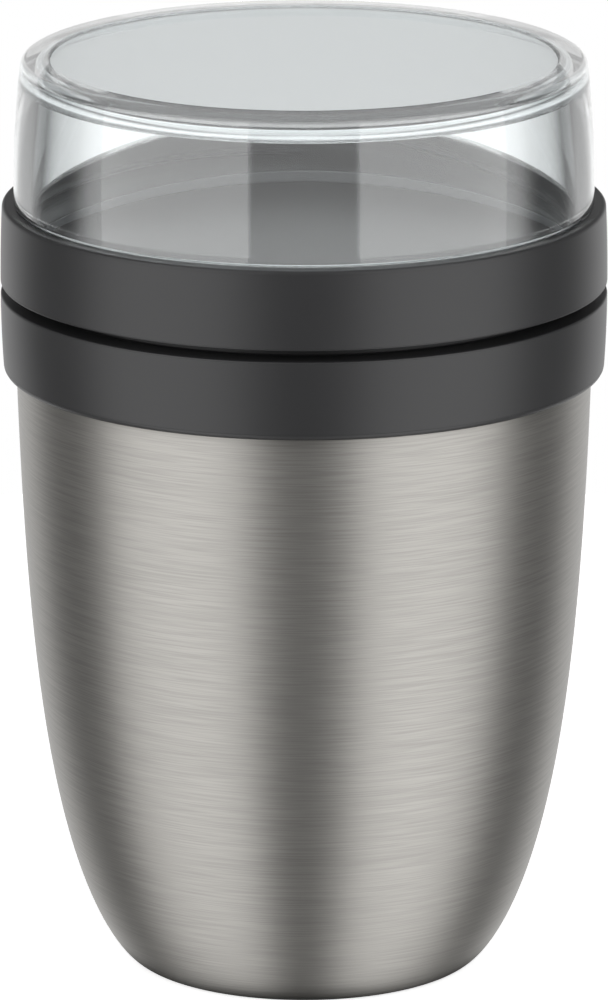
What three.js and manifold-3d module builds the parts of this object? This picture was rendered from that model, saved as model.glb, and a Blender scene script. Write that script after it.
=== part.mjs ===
// Insulated lunch pot: a vacuum-walled steel pot with a dark threaded collar, a dark screw lid,
// and a thick clear cup that screws upside down into the lid.
// Millimetres, +Z up, origin at the centre of the foot on the table.

import * as THREE from 'three';
import { mergeVertices } from 'three/addons/utils/BufferGeometryUtils.js';
import Module from 'manifold-3d';

// Overall form
const ringRadius = 53.5; // widest radius of both dark rings, at the groove between them
const footRadius = 30.3; // edge of the flat foot
const shoulderHeight = 107.95; // lower edge of the collar
const collarHeight = 14.1;
const grooveHeight = 1.95; // gap that shows between the two rings
const lidHeight = 13.9;
const cupRise = 26.1; // cup above the lid's top edge

// Steel vessel
const collarOverhang = 2.66; // collar's widest radius beyond the steel
const bodyCurveRise = 43.6; // height in which the wall swings from the foot to nearly upright
const bodyCurvePower = 0.68; // fullness of the foot's corner, lower is fuller
const shellWall = 0.6;
const linerWall = 0.5;
const vacuumGap = 3.2;
const standRingWidth = 4.3; // flat ring that the pot stands on
const linerFloorHeight = 6;
const linerCornerRun = 2.2; // bevel between the liner's floor and wall
const bottomPlate = 0.6;
const coverPlate = 0.4;
const foilThickness = 0.15;
const foilFoot = 10;
const foilTopMargin = 7.6; // bare liner between the foil and the collar's level

// Evacuation point in the bottom
const dimpleRadius = 7;
const dimpleDepth = 1.4;
const dimpleSlope = 2; // radial run of the dimple's side
const evacuationHoleRadius = 1;
const beadRadius = 2.6;
const beadDepth = 1.1;
const getterRadius = 4;
const getterThickness = 2;

// Collar
const collarTaper = 0.5; // radius lost from the groove down to the collar's lower edge
const collarBottomFillet = 1.2;
const collarDeck = 3; // top wall of the collar, over the steel rim and its gasket
const gasketThickness = 0.8;
const gasketMargin = 0.4; // gasket edge inside the liner's flange

// Lid
const lidWall = 3.1; // ring wall round the pot's neck
const lidTaper = 0.34; // radius lost from the groove up to the lid's top edge
const lidTopFillet = 0.6;
const ringEdgeFillet = 0.3; // both edges of the groove
const socketWall = 2.4; // ring wall round the cup, at the top edge
const socketDepth = 8; // lid's top edge down to its deck
const lidDeck = 1.2;
const plugDepth = 9.2; // below the deck
const plugWall = 1.6;
const plugFillet = 1.5;
const plugClearance = 0.8; // plug to the pot's mouth
const sealGrooveDepth = 1.2;
const sealHeight = 2.4;
const sealLift = 3.4; // seal above the plug's lower face

// Cup
const cupOverhang = 0.35; // cup's full wall over the lid's top edge, beyond the socket
const cupWall = 3.41; // at its lower edge
const cupPlate = 2.8; // top plate
const plateSlopeWidth = 4.2; // sloping ring round the plate's flat middle
const plateFall = 0.22; // height lost across that ring
const cupTaper = 1.3; // outer radius lost from the lower edge up to the shoulder
const cupInnerTaper = 1.1; // inner radius lost over the same height
const cupPower = 2.5; // bend of the outer wall, 1 being straight
const cupInnerPower = 1.5;
const cupShoulderFillet = 1.2;
const cupInnerFillet = 2.4;
const socketEntry = 0.5; // plain wall of the socket above its ribs
const cupSealThickness = 1.6;

// Both screw threads
const threadStarts = 4;
const threadPitch = 3;
const threadDepth = 1.3;
const threadClearance = 0.5; // thread crest to the wall across from it
const ribRootHeight = 1.1;
const ribCrestHeight = 0.6;
const ribBite = 0.4; // rib's root set into its wall
const threadMargin = 0.2; // plain wall above and below the ribs

const clearance = 0.3; // between pieces that lie next to each other
const largestFilletShare = 0.6; // of the wall that a fillet rounds
const roundSegments = 48;
const bodyCurveSteps = 8;
const foilSteps = 5;
const cupWallSteps = 5;
const filletSteps = 3;
const ribSteps = 10;

// Levels
const collarTop = shoulderHeight + collarHeight;
const lidBottom = collarTop + grooveHeight;
const lidTop = lidBottom + lidHeight;
const cupTop = lidTop + cupRise;
const gasketTop = collarTop - collarDeck;
const flangeTop = gasketTop - gasketThickness;
const steelRim = flangeTop - linerWall;
const deckTop = lidTop - socketDepth;
const deckUnderside = deckTop - lidDeck;
const neckTop = deckUnderside - clearance;
const plugBottom = deckUnderside - plugDepth;
const cupRim = deckTop + cupSealThickness;
const cupStep = lidTop + clearance;
const socketThreadTop = lidTop - socketEntry;

// Radii
const shoulderRadius = ringRadius - collarOverhang;
const linerInset = shellWall + vacuumGap;
const mouthRadius = shoulderRadius - linerInset - linerWall;
const standRingInner = footRadius - standRingWidth;
const getterOffset = (dimpleRadius + standRingInner) / 2;
const lidInner = ringRadius - lidWall;
const neckRadius = lidInner - threadClearance - threadDepth;
const socketRadius = ringRadius - lidTaper - socketWall;
const cupMouthRadius = socketRadius + cupOverhang;
const cupInner = cupMouthRadius - cupWall;
const cupNeckRadius = socketRadius - threadClearance - threadDepth;
const plugRadius = mouthRadius - plugClearance;
const sealGrooveRadius = plugRadius - sealGrooveDepth;

const threadLead = threadStarts * threadPitch;

const wasm = await Module();
wasm.setup();

const point = (radius, height) => new THREE.Vector2(radius, height);

// Points of a round edge, from one angle to another in degrees, 0 pointing away from the axis and 90 up.
// Its width and its rise are equal unless a rise is given.
function edge(centreRadius, centreHeight, width, from, to, rise = width) {
  const points = [];
  for (let i = 0; i <= filletSteps; i++) {
    const angle = THREE.MathUtils.degToRad(from + (to - from) * i / filletSteps);
    points.push(point(centreRadius + width * Math.cos(angle), centreHeight + rise * Math.sin(angle)));
  }
  return points;
}

// A turned solid about +Z from its half section, listed up the outside and down the inside.
function turned(section) {
  return new THREE.LatheGeometry(section, roundSegments).rotateX(Math.PI / 2);
}

// A turned ring, whose half section closes on itself.
function turnedRing(section) {
  return turned([...section, section[0].clone()]);
}

// A ring of plain rectangular section.
function flatRing(inner, outer, low, high) {
  return turnedRing([point(inner, low), point(outer, low), point(outer, high), point(inner, high)]);
}

// A disc of plain rectangular section.
function disc(radius, low, high) {
  return turned([point(0, low), point(radius, low), point(radius, high), point(0, high)]);
}

function solidOf(geometry) {
  const bare = geometry.clone();
  bare.deleteAttribute('normal');
  bare.deleteAttribute('uv');
  const merged = mergeVertices(bare);
  const corners = merged.index.array;
  const triangles = [];
  for (let i = 0; i < corners.length; i += 3) {
    const [a, b, c] = corners.slice(i, i + 3);
    if (a !== b && b !== c && c !== a) triangles.push(a, b, c);
  }
  const vertProperties = merged.attributes.position.array;
  const triVerts = new Uint32Array(triangles);
  return new wasm.Manifold(new wasm.Mesh({ numProp: 3, vertProperties, triVerts }));
}

function geometryOf(solid) {
  const mesh = solid.getMesh();
  const geometry = new THREE.BufferGeometry();
  geometry.setAttribute('position', new THREE.BufferAttribute(mesh.vertProperties, 3));
  geometry.setIndex(new THREE.BufferAttribute(mesh.triVerts, 1));
  geometry.computeVertexNormals();
  return geometry;
}

// One thread rib: a straight bar of trapezium section, wound on the helix of the thread's lead.
// side is 1 for a rib on the outside of its wall and -1 for one on the inside.
function windRib(wallRadius, side, startAngle, startHeight, sweep) {
  const rootRadius = wallRadius - side * ribBite;
  const crestRadius = wallRadius + side * threadDepth;
  const section = new THREE.Shape([
    point(rootRadius, -ribRootHeight / 2),
    point(crestRadius, -ribCrestHeight / 2),
    point(crestRadius, ribCrestHeight / 2),
    point(rootRadius, ribRootHeight / 2),
  ]);
  const bar = new THREE.ExtrudeGeometry(section, { depth: sweep, steps: ribSteps, bevelEnabled: false });
  const places = bar.attributes.position;
  for (let i = 0; i < places.count; i++) {
    const turn = sweep - places.getZ(i);
    const angle = startAngle + turn;
    const radius = places.getX(i);
    const height = startHeight + places.getY(i) + threadLead * turn / (2 * Math.PI);
    places.setXYZ(i, radius * Math.cos(angle), radius * Math.sin(angle), height);
  }
  return bar;
}

// Adds the ribs of every start to a solid, in the part of its wall from low to high that the pair of
// threads shares. The ribs of the two pieces run half a pitch apart, so upper says which one is above.
function addThread(geometry, wallRadius, side, low, high, upper) {
  const climb = high - low - 2 * threadMargin - ribRootHeight - threadPitch / 2;
  const sweep = 2 * Math.PI * climb / threadLead;
  const startHeight = low + threadMargin + ribRootHeight / 2 + (upper ? threadPitch / 2 : 0);
  let solid = solidOf(geometry);
  for (let start = 0; start < threadStarts; start++) {
    const startAngle = 2 * Math.PI * start / threadStarts;
    solid = solid.add(solidOf(windRib(wallRadius, side, startAngle, startHeight, sweep)));
  }
  return geometryOf(solid);
}

// Steel body: its radius swings out quickly above the foot and ends upright under the collar.
function bodyRadius(height) {
  const rise = (level) => 1 - Math.exp(-level / bodyCurveRise);
  const share = (rise(height) / rise(shoulderHeight)) ** bodyCurvePower;
  return footRadius + (shoulderRadius - footRadius) * share;
}

// A point of the body's wall at a height, moved square to the wall into the body by inset.
function bodyPoint(height, inset) {
  const step = 0.01;
  const lean = Math.atan2(bodyRadius(height + step) - bodyRadius(height), step);
  return point(bodyRadius(height) - inset * Math.cos(lean), height + inset * Math.sin(lean));
}

// The wall between two heights, from low to high, with closer points where it bends most.
function bodyWall(low, high, inset, steps) {
  const points = [];
  for (let i = 0; i <= steps; i++) {
    points.push(bodyPoint(low + (high - low) * (i / steps) ** 2, inset));
  }
  return points;
}

const lunchPot = new THREE.Group();

function addPiece(name, geometry, colour, roughness, metalness) {
  const material = new THREE.MeshStandardMaterial({ color: colour, roughness, metalness });
  const mesh = new THREE.Mesh(geometry, material);
  mesh.name = name;
  lunchPot.add(mesh);
  return mesh;
}

const brushedSteel = [0xb4b2ad, 0.35, 1];
const brightSteel = [0xc4c3c0, 0.25, 1];
const charcoalPlastic = [0x3b3b3d, 0.5, 0];
const greySilicone = [0x8f9193, 0.7, 0];

// Outer shell: drawn steel with a flat standing ring turned in at the foot and a straight rim.
const outerShell = turnedRing([
  point(standRingInner, 0),
  ...bodyWall(0, shoulderHeight, 0, bodyCurveSteps),
  point(shoulderRadius, steelRim),
  point(shoulderRadius - shellWall, steelRim),
  ...bodyWall(0, shoulderHeight, shellWall, bodyCurveSteps).reverse(),
  point(standRingInner, shellWall),
]);
addPiece('outer_shell', outerShell, ...brushedSteel);

// Outer bottom: welded on the standing ring from inside, with a dimple round the evacuation hole.
const bottomTop = shellWall + bottomPlate;
const bottomRadius = footRadius - clearance;
const dimpleFloorRadius = dimpleRadius - dimpleSlope;
const outerBottom = turnedRing([
  point(evacuationHoleRadius, shellWall + dimpleDepth),
  point(dimpleFloorRadius, shellWall + dimpleDepth),
  point(dimpleRadius, shellWall),
  point(bottomRadius, shellWall),
  point(bottomRadius, bottomTop),
  point(dimpleRadius, bottomTop),
  point(dimpleFloorRadius, bottomTop + dimpleDepth),
  point(evacuationHoleRadius, bottomTop + dimpleDepth),
]);
addPiece('outer_bottom', outerBottom, ...brightSteel);

// Vacuum bead: closes the hole from below, inside the dimple.
const beadSeat = shellWall + dimpleDepth;
const vacuumBead = turned([...edge(0, beadSeat, beadRadius, -90, 0, beadDepth), point(0, beadSeat)]);
addPiece('vacuum_bead', vacuumBead, 0x6c7466, 0.3, 0);

// Base cover: brushed disc inside the standing ring, under the dimple.
const baseCover = disc(standRingInner - clearance, shellWall - coverPlate, shellWall);
addPiece('base_cover', baseCover, ...brushedSteel);

// Getter pill: stands on the bottom inside the vacuum space.
const getterPill = disc(getterRadius, bottomTop, bottomTop + getterThickness);
addPiece('getter_pill', getterPill, 0x77787a, 0.6, 0.6).position.x = getterOffset;

// Inner liner: the food vessel, hung from a flange that lies on the shell's rim.
const linerOuterWall = bodyWall(linerFloorHeight, shoulderHeight, linerInset, bodyCurveSteps);
const linerInnerWall = bodyWall(linerFloorHeight, shoulderHeight, linerInset + linerWall, bodyCurveSteps);
const innerLiner = turned([
  point(0, linerFloorHeight),
  point(linerOuterWall[0].x - linerCornerRun, linerFloorHeight),
  ...linerOuterWall,
  point(mouthRadius + linerWall, steelRim),
  point(shoulderRadius, steelRim),
  point(shoulderRadius, flangeTop),
  point(mouthRadius, flangeTop),
  ...linerInnerWall.reverse(),
  point(linerOuterWall[0].x - linerCornerRun, linerFloorHeight + linerWall),
  point(0, linerFloorHeight + linerWall),
]);
addPiece('inner_liner', innerLiner, ...brightSteel);

// Radiation foil: wrapped round the liner in the vacuum space.
const foilInset = linerInset - clearance;
const foilTop = shoulderHeight - foilTopMargin;
const radiationFoil = turnedRing([
  ...bodyWall(foilFoot, foilTop, foilInset - foilThickness, foilSteps),
  ...bodyWall(foilFoot, foilTop, foilInset, foilSteps).reverse(),
]);
addPiece('radiation_foil', radiationFoil, 0xc9cacc, 0.3, 1);

// Collar gasket: between the liner's flange and the collar's top wall.
const gasketInner = mouthRadius + gasketMargin;
const gasketOuter = shoulderRadius - gasketMargin;
const collarGasket = flatRing(gasketInner, gasketOuter, flangeTop, gasketTop);
addPiece('collar_gasket', collarGasket, ...greySilicone);

// Collar: pressed over the shell's rim, with the pot's threaded neck above its top wall.
// Its outer face bows in like a parabola, by a quarter of the taper at half its height.
const skirtInner = shoulderRadius + clearance;
const collarFoot = ringRadius - collarTaper;
const collarFillet = Math.min(collarBottomFillet, (collarFoot - skirtInner) * largestFilletShare);
const collarRing = turnedRing([
  point(mouthRadius, gasketTop),
  point(skirtInner, gasketTop),
  point(skirtInner, shoulderHeight),
  ...edge(collarFoot - collarFillet, shoulderHeight + collarFillet, collarFillet, -90, 0),
  point(ringRadius - collarTaper / 4, shoulderHeight + collarHeight / 2),
  ...edge(ringRadius - ringEdgeFillet, collarTop - ringEdgeFillet, ringEdgeFillet, 0, 90),
  point(neckRadius, collarTop),
  point(neckRadius, neckTop - ringEdgeFillet),
  point(neckRadius - ringEdgeFillet, neckTop),
  point(mouthRadius + ringEdgeFillet, neckTop),
  point(mouthRadius, neckTop - ringEdgeFillet),
]);
const collar = addThread(collarRing, neckRadius, 1, lidBottom, neckTop, true);
addPiece('collar', collar, ...charcoalPlastic);

// Lid body: ring and deck in one moulding, with the pot's thread below the deck and the cup's above.
// Its outer face bows in as the collar's does, towards its top edge.
const lidRing = turned([
  point(0, deckUnderside),
  point(lidInner, deckUnderside),
  point(lidInner, lidBottom),
  ...edge(ringRadius - ringEdgeFillet, lidBottom + ringEdgeFillet, ringEdgeFillet, -90, 0),
  point(ringRadius - lidTaper / 4, lidBottom + lidHeight / 2),
  ...edge(ringRadius - lidTaper - lidTopFillet, lidTop - lidTopFillet, lidTopFillet, 0, 90),
  point(socketRadius, lidTop),
  point(socketRadius, deckTop),
  point(0, deckTop),
]);
const lidWithPotThread = addThread(lidRing, lidInner, -1, lidBottom, neckTop, false);
const lidBody = addThread(lidWithPotThread, socketRadius, -1, cupRim, socketThreadTop, true);
addPiece('lid_body', lidBody, ...charcoalPlastic);

// Lid plug: a dish welded under the deck that enters the pot's mouth, with a groove for the seal.
const sealLow = plugBottom + sealLift;
const sealHigh = sealLow + sealHeight;
const plugInner = sealGrooveRadius - plugWall;
const plugFloor = plugBottom + plugWall;
const lidPlug = turned([
  point(0, plugBottom),
  ...edge(plugRadius - plugFillet, plugBottom + plugFillet, plugFillet, -90, 0),
  point(plugRadius, sealLow - clearance),
  point(sealGrooveRadius, sealLow - clearance),
  point(sealGrooveRadius, sealHigh + clearance),
  point(plugRadius, sealHigh + clearance),
  point(plugRadius, deckUnderside),
  point(plugInner, deckUnderside),
  point(plugInner, plugFloor),
  point(0, plugFloor),
]);
addPiece('lid_plug', lidPlug, ...charcoalPlastic);

// Lid foam: fills the plug.
const lidFoam = disc(plugInner - clearance, plugFloor, deckUnderside);
addPiece('lid_foam', lidFoam, 0xe6e3d8, 0.9, 0);

// Lid seal: a silicone ring in the plug's groove that wipes the pot's mouth.
const lidSeal = flatRing(sealGrooveRadius + clearance, mouthRadius - clearance, sealLow, sealHigh);
addPiece('lid_seal', lidSeal, ...greySilicone);

// Cup seal: a silicone ring under the cup's rim that lies on the deck.
const cupSeal = flatRing(cupInner, cupNeckRadius, deckTop, cupRim);
addPiece('cup_seal', cupSeal, ...greySilicone);

// Clear cup: upside down, with a slightly barrelled wall, a plate on top that slopes down a little round
// its flat middle, and a threaded neck.
const cupShoulder = cupTop - plateFall - cupShoulderFillet;
const cupWallHeight = cupShoulder - cupStep;
const cupShoulderRadius = cupMouthRadius - cupTaper;
const plateRim = cupShoulderRadius - cupShoulderFillet;
const cupCeiling = cupTop - cupPlate;
const cupBoreHeight = cupCeiling - cupInnerFillet - cupStep;
const cupBoreTaper = cupInnerTaper * (cupBoreHeight / cupWallHeight) ** cupInnerPower;
const cupBoreTop = cupInner - cupBoreTaper;
const leanOf = (taper, power, height) => THREE.MathUtils.radToDeg(Math.atan(power * taper / height));
const cupOuterLean = leanOf(cupTaper, cupPower, cupWallHeight);
const cupInnerLean = leanOf(cupBoreTaper, cupInnerPower, cupBoreHeight);
const cupOuterWall = [];
const cupInnerWall = [];
for (let i = 0; i < cupWallSteps; i++) {
  const share = i / cupWallSteps;
  cupOuterWall.push(point(cupMouthRadius - cupTaper * share ** cupPower, cupStep + cupWallHeight * share));
  const boreRadius = cupInner - cupBoreTaper * share ** cupInnerPower;
  cupInnerWall.push(point(boreRadius, cupStep + cupBoreHeight * share));
}
const cupSolid = turned([
  point(0, cupCeiling),
  ...edge(cupBoreTop - cupInnerFillet, cupCeiling - cupInnerFillet, cupInnerFillet, 90, cupInnerLean),
  ...cupInnerWall.reverse(),
  point(cupInner, cupRim),
  point(cupNeckRadius, cupRim),
  point(cupNeckRadius, cupStep),
  ...cupOuterWall,
  ...edge(plateRim, cupShoulder, cupShoulderFillet, cupOuterLean, 90),
  point(plateRim - plateSlopeWidth, cupTop),
  point(0, cupTop),
]);
const clearCup = addThread(cupSolid, cupNeckRadius, 1, cupRim, socketThreadTop, false);
addPiece('clear_cup', clearCup, 0xdfe6e8, 0.05, 0);

export default lunchPot;
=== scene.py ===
"""Looks of an insulated lunch pot: brushed steel vessel, charcoal collar and lid, clear cup on top.

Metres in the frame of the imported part, +Z up, the foot's centre at the origin. The sections follow
the object as it is put together, and each holds its own sizes: in metres for the camera and the
studio, in millimetres for the pieces.
"""

from math import atan, atan2, cos, exp, pi, radians, sin, tan

import bmesh
import bpy
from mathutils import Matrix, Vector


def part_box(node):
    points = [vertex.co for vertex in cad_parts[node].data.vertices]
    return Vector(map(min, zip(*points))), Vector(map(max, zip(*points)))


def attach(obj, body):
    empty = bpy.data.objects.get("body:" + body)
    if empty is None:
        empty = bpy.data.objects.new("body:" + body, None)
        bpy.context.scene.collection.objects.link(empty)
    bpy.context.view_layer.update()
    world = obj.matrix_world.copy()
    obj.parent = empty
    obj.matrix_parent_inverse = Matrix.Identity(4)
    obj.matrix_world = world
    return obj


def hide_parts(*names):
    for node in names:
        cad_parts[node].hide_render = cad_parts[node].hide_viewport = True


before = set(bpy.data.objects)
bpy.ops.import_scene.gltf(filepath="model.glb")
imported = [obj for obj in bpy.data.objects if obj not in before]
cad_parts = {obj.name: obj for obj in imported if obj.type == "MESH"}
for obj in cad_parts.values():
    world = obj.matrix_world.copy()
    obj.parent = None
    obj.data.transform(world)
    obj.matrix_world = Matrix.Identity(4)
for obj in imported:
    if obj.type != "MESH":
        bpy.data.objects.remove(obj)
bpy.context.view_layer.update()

# Camera: a long lens a step and a half away, looking along +Y and a little down on the pot. Its place
# and its lens follow from the ellipses of the rings and from the pot's outline.
camera_distance = 1.498
camera_height = 0.4872
camera_pitch = 15.087  # degrees below the horizon
picture_height = 1000  # pixels, the long side
focal_length = 8734.1  # pixels
sensor = 36.0  # mm along the long side


def link_object(name, data):
    made = bpy.data.objects.new(name, data)
    bpy.context.scene.collection.objects.link(made)
    return made


camera_data = bpy.data.cameras.new("camera")
camera_data.sensor_width = sensor
camera_data.lens = focal_length * sensor / picture_height
camera = link_object("camera", camera_data)
camera.location = (0, -camera_distance, camera_height)
camera.rotation_euler = (radians(90 - camera_pitch), 0, 0)
bpy.context.scene.camera = camera
bpy.context.scene.view_settings.view_transform = "Standard"


# Studio: two tall soft panels stand left and right in front of the pot, with a dark gap between them
# at the camera and dark sides. The wall behind is grey in gloss and white through the clear cup. A
# small pale round floor lies under the pot. It is white to the camera, and close to the foot it carries
# a painted shadow that only gloss sees.
class Shade:
    """A socket in a shader's node tree. Arithmetic on it adds Math nodes, node() adds any other."""

    def __init__(self, tree, socket=None):
        self.tree = tree
        self.socket = socket

    def node(self, kind, inputs=None, output=0, **settings):
        made = self.tree.nodes.new("ShaderNode" + kind)
        for name, value in settings.items():
            setattr(made, name, value)
        for name, value in (inputs or {}).items():
            if isinstance(value, Shade):
                self.tree.links.new(value.socket, made.inputs[name])
            else:
                made.inputs[name].default_value = value
        return Shade(self.tree, made.outputs[output] if made.outputs else None)

    def maths(self, operation, *values):
        return self.node("Math", dict(enumerate(values)), operation=operation)

    def smooth(self, low, high):
        levels = {"Value": self, "From Min": low, "From Max": high}
        return self.node("MapRange", levels, interpolation_type="SMOOTHSTEP")

    def spread(self, low, high):
        return self.node("MapRange", {"Value": self, "To Min": low, "To Max": high})

    def above(self, other):
        return self.maths("MAXIMUM", self, other)

    def blend(self, first, second):
        """A colour between two. A Mix node has its colours at inputs 6 and 7 and at output 2."""
        return self.node("Mix", {0: self, 6: first, 7: second}, 2, data_type="RGBA")

    def __add__(self, other):
        return self.maths("ADD", self, other)

    def __sub__(self, other):
        return self.maths("SUBTRACT", self, other)

    def __rsub__(self, other):
        return self.maths("SUBTRACT", other, self)

    def __mul__(self, other):
        return self.maths("MULTIPLY", self, other)

    def __truediv__(self, other):
        return self.maths("DIVIDE", self, other)

    def __pow__(self, other):
        return self.maths("POWER", self, other)

    __radd__ = __add__
    __rmul__ = __mul__


def empty_tree(owner):
    owner.use_nodes = True
    owner.node_tree.nodes.clear()
    return Shade(owner.node_tree)


panel_distance = 2.0
panel_inner_edge = 21.6  # degrees round the pot from the camera
panel_outer_edge = 86.0
panel_blur = 1.0  # half the turn in which its inner edge fades, in the cup
panel_low = -6.0
panel_high = 4.0
panel_glow = 1.5

panel_middle = radians(panel_inner_edge + panel_outer_edge) / 2
panel_half_angle = radians(panel_outer_edge - panel_inner_edge) / 2
panel_width = 2 * panel_distance * tan(panel_half_angle)
panel_height = panel_high - panel_low
for side in (-1, 1):
    panel = bpy.data.lights.new("soft_panel", "AREA")
    panel.shape = "RECTANGLE"
    panel.size = panel_width
    panel.size_y = panel_height
    panel.energy = panel_glow * pi * panel_width * panel_height
    lamp = link_object("soft_panel", panel)
    lamp.location = (
        side * panel_distance * sin(panel_middle),
        -panel_distance * cos(panel_middle),
        (panel_low + panel_high) / 2,
    )
    lamp.rotation_euler = (radians(90), 0, side * panel_middle)
    lamp.visible_transmission = False

dark_glow = 0.14  # of the room's sides
grey_glow = 0.22  # of the wall behind the pot and of the ceiling
low_glow = 1.05  # of that wall below the horizon, in gloss
ground_glow = 0.22
front_glow = 2.0  # of the room in front, in the polished cup
front_lift = 0.8  # that the panels add to it
front_seen = 0.65  # of the room in front, through the clear cup
inner_glow = 2.0  # of the panels, thrown back inside the cup's wall
wall_passes = (2.4, 2.6)  # faces passed by light that one wall of the cup throws back
back_glow = 0.93  # of the wall straight behind, through the clear cup
below_glow = 0.6  # of what lies below, through the clear cup

front_edges = (88.0, 110.0)  # degrees round from the camera, from the pale front to the dark sides
grey_edges = (123.0, 141.0)  # from the dark sides to the grey wall
high_edges = (100.0, 140.0)  # to the white wall above the horizon, through the clear cup
white_edges = (160.0, 171.0)  # to the white wall straight behind, through the clear cup

ground_edges = (-60.0, -35.0)  # degrees above the horizon, from the ground up
wall_foot_edges = (-58.0, -30.0)  # up to the pale foot of the wall, in brushed metal
below_edges = (-40.0, -22.0)  # up from what lies below, through the clear cup
lift_edges = (1.0, 9.0)  # up to the white wall above the horizon, through the clear cup
horizon_edges = (3.0, 10.0)  # up from the pale foot of the wall
front_top_edges = (3.0, 12.0)  # up from the pale front
ceiling_edges = (10.0, 40.0)  # up to the grey ceiling


def turn_levels(edges):
    return [-cos(radians(edge)) for edge in edges]


def lift_levels(edges):
    return [sin(radians(edge)) for edge in edges]


world = bpy.data.worlds.new("studio")
bpy.context.scene.world = world
tree = empty_tree(world)
direction = tree.node("TexCoord", output="Generated")
along_x = tree.node("SeparateXYZ", {0: direction}, "X")
along_y = tree.node("SeparateXYZ", {0: direction}, "Y")
upward = tree.node("SeparateXYZ", {0: direction}, "Z")
backward = along_y / (along_x * along_x + along_y * along_y) ** 0.5
to_camera = tree.node("LightPath", output="Is Camera Ray")
through_cup = tree.node("LightPath", output="Is Transmission Ray")
in_gloss = tree.node("LightPath", output="Is Glossy Ray") * (1 - through_cup)
polished = tree.node("LightPath", output="Is Singular Ray")
above_ground = upward.smooth(*lift_levels(wall_foot_edges)).above(polished)
low_wall = in_gloss * above_ground * (1 - upward.smooth(*lift_levels(horizon_edges)))
wall_glow = low_wall * (low_glow - grey_glow) + (grey_glow - dark_glow)
wall = backward.smooth(*turn_levels(grey_edges)) * wall_glow
ceiling = upward.smooth(*lift_levels(ceiling_edges)) * (grey_glow - dark_glow)
ground = (1 - upward.smooth(*lift_levels(ground_edges))) * (ground_glow - dark_glow)
high_wall = backward.smooth(*turn_levels(high_edges)) * upward.smooth(*lift_levels(lift_edges))
white_wall = (backward.smooth(*turn_levels(white_edges)) * back_glow).above(high_wall)
below = (1 - upward.smooth(*lift_levels(below_edges))) * below_glow
panel_edges = (panel_inner_edge - panel_blur, panel_inner_edge + panel_blur)
at_panels = backward.smooth(*turn_levels(panel_edges))
front = 1 - backward.smooth(*turn_levels(front_edges))
low_front = front * (1 - upward.smooth(*lift_levels(front_top_edges)))
passes = tree.node("LightPath", output="Transmission Depth")
within_wall = 1 - passes.smooth(*wall_passes)
front_through = low_front * at_panels * within_wall * inner_glow + front * front_seen
seen_through = white_wall.above(below).above(front_through) * through_cup
in_polish = polished * in_gloss * low_front * (at_panels * front_lift + front_glow)
glow = (wall.above(ceiling).above(ground) + dark_glow).above(seen_through).above(in_polish).above(to_camera)
tree.node("OutputWorld", {"Surface": tree.node("Background", {"Color": (1, 1, 1, 1), "Strength": glow})})

floor_radius = 0.32
floor_sides = 96
floor_glow = 0.72  # light that the camera sees besides the floor's own
floor_tones = (0.84, 0.88)
floor_grain = 40.0
# Painted shadow round the foot: inside these radii the floor is near-black, and only gloss sees it.
foot_shadow = (0.031, 0.038)  # radii between which the floor fades out of gloss
painted_shadow_tone = 0.03

floor_mesh = bmesh.new()
bmesh.ops.create_circle(floor_mesh, cap_ends=True, segments=floor_sides, radius=floor_radius)
floor_data = bpy.data.meshes.new("floor")
floor_mesh.to_mesh(floor_data)
floor_mesh.free()
floor = link_object("floor", floor_data)
floor_material = bpy.data.materials.new("pale_floor")
floor_data.materials.append(floor_material)
tree = empty_tree(floor_material)
to_camera = tree.node("LightPath", output="Is Camera Ray")
in_gloss = tree.node("LightPath", output="Is Glossy Ray")
place = tree.node("TexCoord", output="Object")
distance = tree.node("VectorMath", {0: place}, "Value", operation="LENGTH")
mottle = tree.node("TexNoise", {"Vector": place, "Scale": floor_grain}, "Fac")
matte = tree.node("BsdfDiffuse", {"Color": mottle.spread(*floor_tones)})
lit = tree.node("Emission", {"Color": (1, 1, 1, 1), "Strength": to_camera * floor_glow})
seen = tree.node("AddShader", {0: matte, 1: lit})
# The painted shadow: a near-black patch of floor round the foot, seen only in reflections.
painted_foot_shadow = tree.node("BsdfDiffuse", {"Color": (painted_shadow_tone, painted_shadow_tone, painted_shadow_tone, 1)})
open_below = tree.node("BsdfTransparent")
reflected = tree.node("MixShader", {0: distance.smooth(*foot_shadow), 1: painted_foot_shadow, 2: open_below})
tree.node("OutputMaterial", {"Surface": tree.node("MixShader", {0: in_gloss, 1: seen, 2: reflected})})

# Outer shell: drawn stainless steel, brushed round its axis in fine short strokes. It flares from a
# flat standing ring at the foot to a straight rim that the collar covers.
mm = 0.001
sides = 240
foot_radius = 30.3
shoulder_height = 107.95
body_curve_rise = 43.6  # height in which the wall swings from the foot to nearly upright
body_curve_power = 0.68
shell_wall = 0.6
stand_ring_width = 4.3
rim_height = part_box("outer_shell")[1].z / mm
shoulder_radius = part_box("outer_shell")[1].x / mm
sharp_turn = 35  # degrees, from which an edge is shaded sharp
stroke_detail = 2.0
stroke_levels = (0.25, 0.75)  # of the noise, from dark to light strokes
gloss_swing = 0.04  # of the roughness between strokes
highlight_stretch = 0.72
highlight_turn = 0.25  # of a full turn, so that it stretches across the strokes
stroke_relief = 0.08
stroke_depth = 0.05


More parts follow.
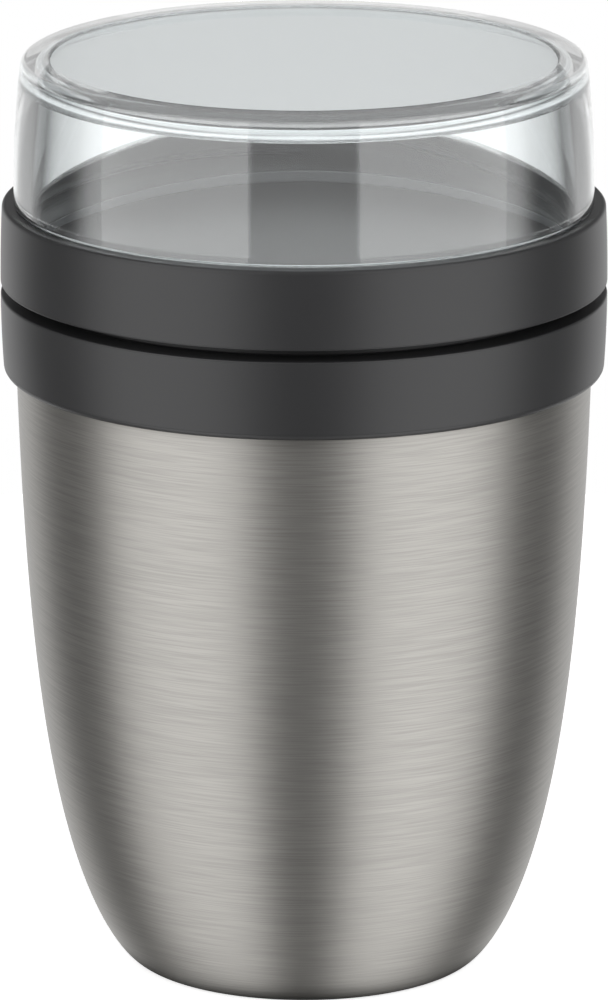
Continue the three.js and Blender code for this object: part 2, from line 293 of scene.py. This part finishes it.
def turned(name, section, relief=None):
    """A closed solid turned about +Z from its half section in mm, with an optional relief on its walls.
    The section runs up the outside and down the inside, so that the faces point out."""
    mesh = bmesh.new()
    rings = []
    for radius, height in section:
        if radius == 0:
            rings.append([mesh.verts.new((0, 0, height * mm))])
            continue
        ring = []
        for step in range(sides):
            angle = 2 * pi * step / sides
            reach = radius + (relief(angle, radius, height) if relief else 0)
            ring.append(mesh.verts.new((reach * mm * cos(angle), reach * mm * sin(angle), height * mm)))
        rings.append(ring)
    for one, other in zip(rings, rings[1:] + rings[:1]):
        if len(one) == len(other) == 1:
            continue
        for step in range(sides):
            after = (step + 1) % sides
            corners = [one[step % len(one)], one[after % len(one)]]
            corners += [other[after % len(other)], other[step % len(other)]]
            mesh.faces.new(list(dict.fromkeys(corners))).smooth = True
    data = bpy.data.meshes.new(name)
    mesh.to_mesh(data)
    mesh.free()
    data.set_sharp_from_angle(angle=radians(sharp_turn))
    return link_object(name, data)


def body_radius(height):
    share = (1 - exp(-height / body_curve_rise)) / (1 - exp(-shoulder_height / body_curve_rise))
    return foot_radius + (shoulder_radius - foot_radius) * share**body_curve_power


def body_wall(low, high, inset, steps=72):
    """The wall's points from low to high, closer together where it bends most, moved in by inset."""
    points = []
    probe = 0.01
    for step in range(steps + 1):
        height = low + (high - low) * (step / steps) ** 2
        lean = atan((body_radius(height + probe) - body_radius(height)) / probe)
        points.append((body_radius(height) - inset * cos(lean), height + inset * sin(lean)))
    return points


def give(piece, material):
    piece.data.materials.clear()
    piece.data.materials.append(material)


def stand_for(piece, node, body, material):
    """Puts a new piece in the place of a CAD node of the same form."""
    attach(piece, body)
    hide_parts(node)
    give(piece, material)


def shades(colour, contrast):
    """A colour's dark and light neighbours."""
    return [[value * factor for value in colour] + [1] for factor in (1 - contrast, 1 + contrast)]


def brushed(name, colour, roughness, length, thickness, contrast):
    """Steel brushed round the axis: strokes of a length and thickness, one after another along the
    wall, in its tone, gloss and relief."""
    material = bpy.data.materials.new(name)
    tree = empty_tree(material)
    place = tree.node("TexCoord", output="Object")
    across = tree.node("SeparateXYZ", {0: place}, "X")
    along = tree.node("SeparateXYZ", {0: place}, "Y")
    height = tree.node("SeparateXYZ", {0: place}, "Z")
    radius = (across * across + along * along) ** 0.5
    stroke = {
        "X": across / (length * mm),
        "Y": along / (length * mm),
        "Z": (height + radius) / (thickness * mm),
    }
    stretched = tree.node("CombineXYZ", stroke)
    noise = {"Vector": stretched, "Scale": 1.0, "Detail": stroke_detail}
    strokes = tree.node("TexNoise", noise, "Fac")
    bump = {"Strength": stroke_relief, "Distance": stroke_depth * mm, "Height": strokes}
    steel = {
        "Base Color": strokes.smooth(*stroke_levels).blend(*shades(colour, contrast)),
        "Metallic": 1.0,
        "Roughness": strokes.spread(roughness - gloss_swing, roughness + gloss_swing),
        "Anisotropic": highlight_stretch,
        "Anisotropic Rotation": highlight_turn,
        "Normal": tree.node("Bump", bump),
    }
    tree.node("OutputMaterial", {"Surface": tree.node("BsdfPrincipled", steel)})
    return material


shell_section = [(foot_radius - stand_ring_width, 0)]
shell_section += body_wall(0, shoulder_height, 0)
shell_section += [(shoulder_radius, rim_height), (shoulder_radius - shell_wall, rim_height)]
shell_section += body_wall(0, shoulder_height, shell_wall)[::-1]
shell_section += [(foot_radius - stand_ring_width, shell_wall)]
brushed_steel = brushed(
    "brushed_steel",
    colour=(0.4, 0.388, 0.367),
    roughness=0.49,
    length=12.0,
    thickness=0.22,
    contrast=0.12,
)
outer_shell = turned("steel_shell", shell_section)
stand_for(outer_shell, "outer_shell", "pot", brushed_steel)

# Outer bottom: a pressed steel plate welded inside the standing ring, with a dimple round the hole
# that the vacuum was drawn through. Satin as drawn, hidden by the base cover.
bright_steel = brushed(
    "bright_steel",
    colour=(0.56, 0.555, 0.545),
    roughness=0.34,
    length=40.0,
    thickness=0.6,
    contrast=0.05,
)
give(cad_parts["outer_bottom"], bright_steel)

# Vacuum bead: a drop of dark green solder glass over the hole that the vacuum was drawn through. It is
# fused into the dimple of the bottom plate, in the vacuum furnace.
cloud_detail = 3.0
grain_detail = 2.0
grain_relief = 0.3


def grained(name, colour, contrast, roughness, cloud, grain, depth, **surface):
    """A material with even grain: clouds in its tone and gloss, and a fine relief of some depth.
    Cloud and grain say how many there are to a metre."""
    material = bpy.data.materials.new(name)
    tree = empty_tree(material)
    place = tree.node("TexCoord", output="Object")
    clouds = tree.node("TexNoise", {"Vector": place, "Scale": cloud, "Detail": cloud_detail}, "Fac")
    grains = tree.node("TexNoise", {"Vector": place, "Scale": grain, "Detail": grain_detail}, "Fac")
    bump = {"Strength": grain_relief, "Distance": depth * mm, "Height": grains}
    inputs = {
        "Base Color": clouds.blend(*shades(colour, contrast)),
        "Roughness": clouds.spread(*roughness),
        "Normal": tree.node("Bump", bump),
    }
    for setting, value in surface.items():
        inputs[setting.replace("_", " ")] = value
    tree.node("OutputMaterial", {"Surface": tree.node("BsdfPrincipled", inputs)})
    return material


solder_glass = grained(
    "solder_glass",
    colour=(0.07, 0.09, 0.06),
    contrast=0.3,
    roughness=(0.1, 0.3),
    cloud=900.0,
    grain=2500.0,
    depth=0.02,
)
give(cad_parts["vacuum_bead"], solder_glass)


# Base cover: a thin brushed steel disc glued under the dimple, a little above the table, with its
# edges broken. Its strokes run in rings.
def rounded(corners, steps=5):
    """The half section through corners (radius, height, fillet), with each fillet as an arc.
    A point just outside both ends of an arc keeps the straight faces next to it flat in their shading."""
    guard = 0.03
    points = []
    for before, corner, after in zip(corners[-1:] + corners[:-1], corners, corners[1:] + corners[:1]):
        radius, height, fillet = corner
        if fillet == 0:
            points.append((radius, height))
            continue
        one = (before[0] - radius, before[1] - height)
        other = (after[0] - radius, after[1] - height)
        one_angle = atan2(one[1], one[0])
        other_angle = atan2(other[1], other[0])
        turn = (other_angle - one_angle + pi) % (2 * pi) - pi
        middle = one_angle + turn / 2
        reach = fillet / abs(sin(turn / 2))
        centre = (radius + reach * cos(middle), height + reach * sin(middle))
        half_arc = (pi - abs(turn)) / 2
        swing = half_arc if turn > 0 else -half_arc
        run = fillet / tan(abs(turn) / 2) + guard
        points.append((radius + run * cos(one_angle), height + run * sin(one_angle)))
        for step in range(steps + 1):
            angle = middle + pi - swing + 2 * swing * step / steps
            points.append((centre[0] + fillet * cos(angle), centre[1] + fillet * sin(angle)))
        points.append((radius + run * cos(other_angle), height + run * sin(other_angle)))
    return points


cover_low, cover_high = (corner.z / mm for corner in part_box("base_cover"))
cover_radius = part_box("base_cover")[1].x / mm
cover_edge = 0.12
cover_section = rounded(
    [
        (0, cover_low, 0),
        (cover_radius, cover_low, cover_edge),
        (cover_radius, cover_high, cover_edge),
        (0, cover_high, 0),
    ]
)
base_cover = turned("foot_disc", cover_section)
stand_for(base_cover, "base_cover", "pot", brushed_steel)

# Getter pill: a small grey tablet of sintered metal powder on the bottom plate, which takes up the
# last gas in the vacuum.
getter_metal = grained(
    "getter_metal",
    colour=(0.3, 0.3, 0.31),
    contrast=0.2,
    roughness=(0.5, 0.7),
    cloud=1500.0,
    grain=5000.0,
    depth=0.1,
    Metallic=0.6,
)
give(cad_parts["getter_pill"], getter_metal)

# Inner liner: the vessel for the food, drawn from thin steel and left satin. It hangs in the shell
# from a flange that lies on the shell's rim.
liner_inset = 3.8  # shell wall and vacuum
liner_wall = 0.5
liner_floor = 6.0
liner_corner_run = 2.2  # bevel between floor and wall
mouth_radius = shoulder_radius - liner_inset - liner_wall
flange_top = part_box("inner_liner")[1].z / mm
liner_outside = body_wall(liner_floor, shoulder_height, liner_inset)
liner_inside = body_wall(liner_floor, shoulder_height, liner_inset + liner_wall)
floor_edge = liner_outside[0][0] - liner_corner_run
liner_section = [(0, liner_floor), (floor_edge, liner_floor)]
liner_section += liner_outside
liner_section += [(mouth_radius + liner_wall, rim_height), (shoulder_radius, rim_height)]
liner_section += [(shoulder_radius, flange_top), (mouth_radius, flange_top)]
liner_section += liner_inside[::-1]
liner_section += [(floor_edge, liner_floor + liner_wall), (0, liner_floor + liner_wall)]
inner_liner = turned("food_vessel", liner_section)
stand_for(inner_liner, "inner_liner", "pot", bright_steel)

# Radiation foil: thin bright aluminium wrapped round the liner in the vacuum, with the crinkles that
# wrapping leaves in it.
foil = grained(
    "foil",
    colour=(0.78, 0.78, 0.79),
    contrast=0.06,
    roughness=(0.15, 0.35),
    cloud=120.0,
    grain=260.0,
    depth=0.6,
    Metallic=1.0,
)
give(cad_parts["radiation_foil"], foil)

# Collar gasket: a flat ring of grey silicone that keeps water out of the joint. It is pressed between
# the liner's flange and the collar.
silicone = grained(
    "grey_silicone",
    colour=(0.26, 0.27, 0.28),
    contrast=0.06,
    roughness=(0.5, 0.6),
    cloud=150.0,
    grain=4000.0,
    depth=0.02,
)
give(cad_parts["collar_gasket"], silicone)

# Collar: moulded charcoal plastic with a fine satin grain, pressed over the steel rim. Its outer face
# bows in a little downwards. The pot's neck stands up from it inside the lid, with a four-start thread.
ring_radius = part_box("collar")[1].x / mm
collar_height = 14.1
collar_taper = 0.5
collar_fillet = 1.1
ring_edge_fillet = 0.3
inner_fillet = 0.2
skirt_gap = 0.3
collar_deck = 3.0
lid_wall = 3.1
thread_starts = 4
thread_pitch = 3.0
thread_depth = 1.3
thread_clearance = 0.5
thread_margin = 0.2
rib_root = 1.1
rib_run_out = radians(6)  # turn in which a rib's end rises from its wall
neck_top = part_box("collar")[1].z / mm
collar_top = shoulder_height + collar_height
groove_height = 1.95
lid_bottom = collar_top + groove_height
lid_inner = ring_radius - lid_wall
neck_radius = lid_inner - thread_clearance - thread_depth


def bowed(low, high, radius, loss, power=2, steps=8):
    """A face that bows in more and more, from its full radius at one end. Power 2 is a parabola."""
    points = []
    for step in range(1, steps):
        share = step / steps
        points.append((radius - loss * share**power, low + (high - low) * share, 0))
    return points


def upright(radius, low, high):
    """A plain wall with rows close enough to carry a thread's ribs."""
    row = 0.08
    steps = round(abs(high - low) / row)
    return [(radius, low + (high - low) * step / steps, 0) for step in range(steps + 1)]


def ribs(wall_radius, depth, low, high, upper):
    """The relief of a thread on a wall from low to high, with a depth below zero inside the wall.
    The ribs of the two pieces run half a pitch apart, so upper says which one is above."""
    climb = high - low - 2 * thread_margin - rib_root - thread_pitch / 2
    lead = thread_starts * thread_pitch
    sweep = 2 * pi * climb / lead
    first = low + thread_margin + rib_root / 2 + (thread_pitch / 2 if upper else 0)

    def relief(angle, radius, height):
        if radius != wall_radius:
            return 0
        tallest = 0
        for start in range(thread_starts):
            turn = (angle - 2 * pi * start / thread_starts) % (2 * pi)
            off = abs(height - first - lead * turn / (2 * pi))
            across = max(0, 1 - off / rib_root * 2)
            end = max(0, min(1, turn / rib_run_out, (sweep - turn) / rib_run_out))
            tallest = max(tallest, sin(pi / 2 * across) ** 2 * sin(pi / 2 * end) ** 2)
        return depth * tallest

    return relief


charcoal = grained(
    "charcoal_plastic",
    colour=(0.02, 0.02, 0.0212),
    contrast=0.08,
    roughness=(0.38, 0.42),
    cloud=60.0,
    grain=3500.0,
    depth=0.0015,
    Specular_IOR_Level=0.6,
)
collar_section = rounded(
    [
        (mouth_radius, collar_top - collar_deck, 0),
        (shoulder_radius + skirt_gap, collar_top - collar_deck, 0),
        (shoulder_radius + skirt_gap, shoulder_height, inner_fillet),
        (ring_radius - collar_taper, shoulder_height, collar_fillet),
        *bowed(collar_top, shoulder_height, ring_radius, collar_taper)[::-1],
        (ring_radius, collar_top, ring_edge_fillet),
        (neck_radius, collar_top, inner_fillet),
        *upright(neck_radius, lid_bottom, neck_top - 2 * ring_edge_fillet),
        (neck_radius, neck_top, ring_edge_fillet),
        (mouth_radius, neck_top, ring_edge_fillet),
    ]
)
collar = turned("collar_ring", collar_section, ribs(neck_radius, thread_depth, lid_bottom, neck_top, True))
stand_for(collar, "collar", "pot", charcoal)

# Lid body: ring and deck in one charcoal moulding, its outer face bowed in a little upwards. The thread
# for the pot's neck is inside its lower edge, and the thread for the cup's neck is above the deck.
lid_height = 13.9
lid_taper = 0.34
lid_top_fillet = 0.6
socket_wall = 2.4
socket_depth = 8.0
socket_entry = 0.5  # plain wall above the ribs
lid_deck = 1.2
cup_seal_thickness = 1.6
lid_top = lid_bottom + lid_height
deck_top = lid_top - socket_depth
deck_underside = deck_top - lid_deck
socket_radius = ring_radius - lid_taper - socket_wall
cup_rim = deck_top + cup_seal_thickness
thread_top = lid_top - socket_entry
lid_section = rounded(
    [
        (0, deck_underside, 0),
        (lid_inner, deck_underside, 0),
        *upright(lid_inner, neck_top, lid_bottom + ring_edge_fillet),
        (lid_inner, lid_bottom, inner_fillet),
        (ring_radius, lid_bottom, ring_edge_fillet),
        *bowed(lid_bottom, lid_top, ring_radius, lid_taper),
        (ring_radius - lid_taper, lid_top, lid_top_fillet),
        (socket_radius, lid_top, inner_fillet),
        *upright(socket_radius, thread_top, cup_rim),
        (socket_radius, deck_top, inner_fillet),
        (0, deck_top, 0),
    ]
)
pot_ribs = ribs(lid_inner, -thread_depth, lid_bottom, neck_top, False)
cup_ribs = ribs(socket_radius, -thread_depth, cup_rim, thread_top, True)
lid_body = turned("lid_ring", lid_section, lambda *spot: pot_ribs(*spot) + cup_ribs(*spot))
stand_for(lid_body, "lid_body", "lid", charcoal)

# Lid plug: a charcoal dish welded under the deck, which enters the pot's mouth. Its lower edge is
# rounded, and a groove round it holds the lid seal.
plug_clearance = 0.8
plug_wall = 1.6
plug_fillet = 1.5
groove_depth = 1.2
seal_gap = 0.3
plug_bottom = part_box("lid_plug")[0].z / mm
seal_low, seal_high = (corner.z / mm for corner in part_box("lid_seal"))
plug_radius = mouth_radius - plug_clearance
groove_radius = plug_radius - groove_depth
plug_section = rounded(
    [
        (0, plug_bottom, 0),
        (plug_radius, plug_bottom, plug_fillet),
        (plug_radius, seal_low - seal_gap, inner_fillet),
        (groove_radius, seal_low - seal_gap, inner_fillet),
        (groove_radius, seal_high + seal_gap, inner_fillet),
        (plug_radius, seal_high + seal_gap, inner_fillet),
        (plug_radius, deck_underside, 0),
        (groove_radius - plug_wall, deck_underside, 0),
        (groove_radius - plug_wall, plug_bottom + plug_wall, 0),
        (0, plug_bottom + plug_wall, 0),
    ]
)
lid_plug = turned("lid_dish", plug_section)
stand_for(lid_plug, "lid_plug", "lid", charcoal)

# Lid foam: a disc of cream open-cell foam that keeps the heat in. It fills the plug and is shut in
# under the deck.
foam = grained(
    "cream_foam",
    colour=(0.72, 0.69, 0.6),
    contrast=0.12,
    roughness=(0.85, 0.95),
    cloud=700.0,
    grain=1400.0,
    depth=0.6,
)
give(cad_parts["lid_foam"], foam)

# Lid seal: a moulded ring of grey silicone, stretched into the plug's groove. Its two round lips wipe
# the pot's mouth.
seal_inner = groove_radius + seal_gap
seal_outer = mouth_radius - seal_gap
lip_fillet = 0.5
valley = 0.6  # depth between the lips
seal_middle = (seal_low + seal_high) / 2
seal_section = rounded(
    [
        (seal_inner, seal_low, inner_fillet),
        (seal_outer, seal_low, lip_fillet),
        (seal_outer, seal_middle - inner_fillet, inner_fillet),
        (seal_outer - valley, seal_middle, 0),
        (seal_outer, seal_middle + inner_fillet, inner_fillet),
        (seal_outer, seal_high, lip_fillet),
        (seal_inner, seal_high, inner_fillet),
    ]
)
lid_seal = turned("wiper_ring", seal_section)
stand_for(lid_seal, "lid_seal", "lid_seal_ring", silicone)

# Cup seal: a flat ring of grey silicone with rounded edges. It lies on the lid's deck, and the cup's
# rim presses on it.
cup_wall = 3.41
cup_overhang = 0.35
cup_mouth_radius = socket_radius + cup_overhang
cup_inner = cup_mouth_radius - cup_wall
cup_neck_radius = socket_radius - thread_clearance - thread_depth
cup_seal_section = rounded(
    [
        (cup_inner, deck_top, inner_fillet),
        (cup_neck_radius, deck_top, inner_fillet),
        (cup_neck_radius, cup_rim, inner_fillet),
        (cup_inner, cup_rim, inner_fillet),
    ]
)
cup_seal = turned("cup_seal_ring", cup_seal_section)
stand_for(cup_seal, "cup_seal", "cup_seal_ring", silicone)

# Clear cup: thick polished clear plastic, injection moulded, standing upside down on the lid. A plate
# that slopes down a little round its flat middle closes its top, its wall is slightly barrelled, and its
# neck has the thread.
cup_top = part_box("clear_cup")[1].z / mm
cup_taper = 1.3
cup_power = 2.5
cup_inner_taper = 1.1
cup_inner_power = 1.5
cup_plate = 2.8
cup_shoulder_fillet = 1.2
cup_inner_fillet = 2.4
cup_lower_edge = 0.5
cup_rim_edge = 0.06
cup_rib = 0.12  # depth of its low round ribs
cup_gap = 0.15  # full wall over the lid's top edge
plate_slope_width = 4.2  # sloping ring round the flat middle of the plate
plate_fall = 0.22  # height lost across that ring
crease = 0.05
cup_wall_rows = 24
cup_arc_rows = 12
cup_step = lid_top + cup_gap
cup_shoulder = cup_top - plate_fall - cup_shoulder_fillet
cup_ceiling = cup_top - cup_plate
bore_top = cup_ceiling - cup_inner_fillet - crease


def bore_radius(height):
    share = max(0, height - cup_step) / (cup_shoulder - cup_step)
    return cup_inner - cup_inner_taper * share**cup_inner_power


bore_wall = []
for step in range(cup_wall_rows + 1):
    height = bore_top + (cup_step - bore_top) * step / cup_wall_rows
    bore_wall.append((bore_radius(height), height, 0))
plate_rim = cup_mouth_radius - cup_taper - cup_shoulder_fillet
plate_flat = plate_rim - plate_slope_width
wall_lean = atan(cup_power * cup_taper / (cup_shoulder - cup_step))
slope_lean = atan(plate_fall / plate_slope_width)
shoulder_arc = []
for step in range(cup_arc_rows + 1):
    angle = wall_lean + (pi / 2 - slope_lean - wall_lean) * step / cup_arc_rows
    shoulder_arc.append(
        (plate_rim + cup_shoulder_fillet * cos(angle), cup_shoulder + cup_shoulder_fillet * sin(angle), 0)
    )
cup_section = rounded(
    [
        (0, cup_ceiling, 0),
        (bore_radius(cup_ceiling), cup_ceiling, cup_inner_fillet),
        *bore_wall,
        (cup_inner, cup_rim, cup_rim_edge),
        (cup_neck_radius, cup_rim, cup_rim_edge),
        *upright(cup_neck_radius, cup_rim + 2 * inner_fillet, thread_top),
        (cup_neck_radius, cup_step, 0),
        (cup_mouth_radius, cup_step, cup_lower_edge),
        *bowed(cup_step, cup_shoulder, cup_mouth_radius, cup_taper, cup_power, cup_wall_rows),
        *shoulder_arc,
        (plate_rim, cup_top - plate_fall, 0),
        (plate_flat + crease, cup_top - crease * tan(slope_lean), 0),
        (plate_flat - crease, cup_top, 0),
        (plate_flat - 2 * crease, cup_top, 0),
        (0, cup_top, 0),
    ],
    cup_arc_rows,
)
clear_colour = (0.965, 0.99, 0.995)
clear_contrast = 0.004
clear_cloud = 90.0
clear_index = 1.5
clear_weight = 0.99
trapped_share = (0.9, 1.0)  # of the light that a face throws back inside
wall_share = 0.58  # that the wall lets out below the rim
plate_share = 0.25  # that the plate's faces let out
rim_share = 0.42  # of the light that passes the sloping ring unbent
wall_edges = (-0.21, 0.09)  # out from the plate's rim, where the wall begins
plate_edges = (-1.0, -0.4)  # up from the ceiling, where the plate begins
ring_edges = (-0.01, 0.79)  # out from the flat middle, where the sloping ring begins
rim_edges = (-0.38, 0.42)  # up from the shoulder, where the rim begins


def span_from(place, edges):
    return [(place + edge) * mm for edge in edges]


clear_plastic = bpy.data.materials.new("clear_plastic")
tree = empty_tree(clear_plastic)
place = tree.node("TexCoord", output="Object")
clouds = tree.node("TexNoise", {"Vector": place, "Scale": clear_cloud}, "Fac")
clear_surface = {
    "Base Color": clouds.blend(*shades(clear_colour, clear_contrast)),
    "Roughness": 0.0,
    "IOR": clear_index,
    "Transmission Weight": clear_weight,
}
level_place = tree.node("VectorMath", {0: place, 1: (1, 1, 0)}, operation="MULTIPLY")
reach = tree.node("VectorMath", {0: level_place}, "Value", operation="LENGTH")
height = tree.node("SeparateXYZ", {0: place}, "Z")
on_ring = reach.smooth(*span_from(plate_flat, ring_edges))
on_wall = reach.smooth(*span_from(plate_rim, wall_edges))
at_rim = height.smooth(*span_from(cup_shoulder, rim_edges))
at_plate = height.smooth(*span_from(cup_ceiling, plate_edges))
inside = tree.node("NewGeometry", output="Backfacing")
trapped = tree.node("Fresnel", {"IOR": clear_index}).smooth(*trapped_share) * inside
outer_share = at_rim * (1 - wall_share) + wall_share
let_out = (on_wall * outer_share).above(at_plate * plate_share)
open_share = (trapped * let_out).above(on_ring * at_rim * rim_share)
clear = tree.node("BsdfPrincipled", clear_surface)
leak = tree.node("BsdfTransparent")
tree.node("OutputMaterial", {"Surface": tree.node("MixShader", {0: open_share, 1: clear, 2: leak})})
clear_cup = turned("cup", cup_section, ribs(cup_neck_radius, cup_rib, cup_rim, thread_top, False))
stand_for(clear_cup, "clear_cup", "cup", clear_plastic)
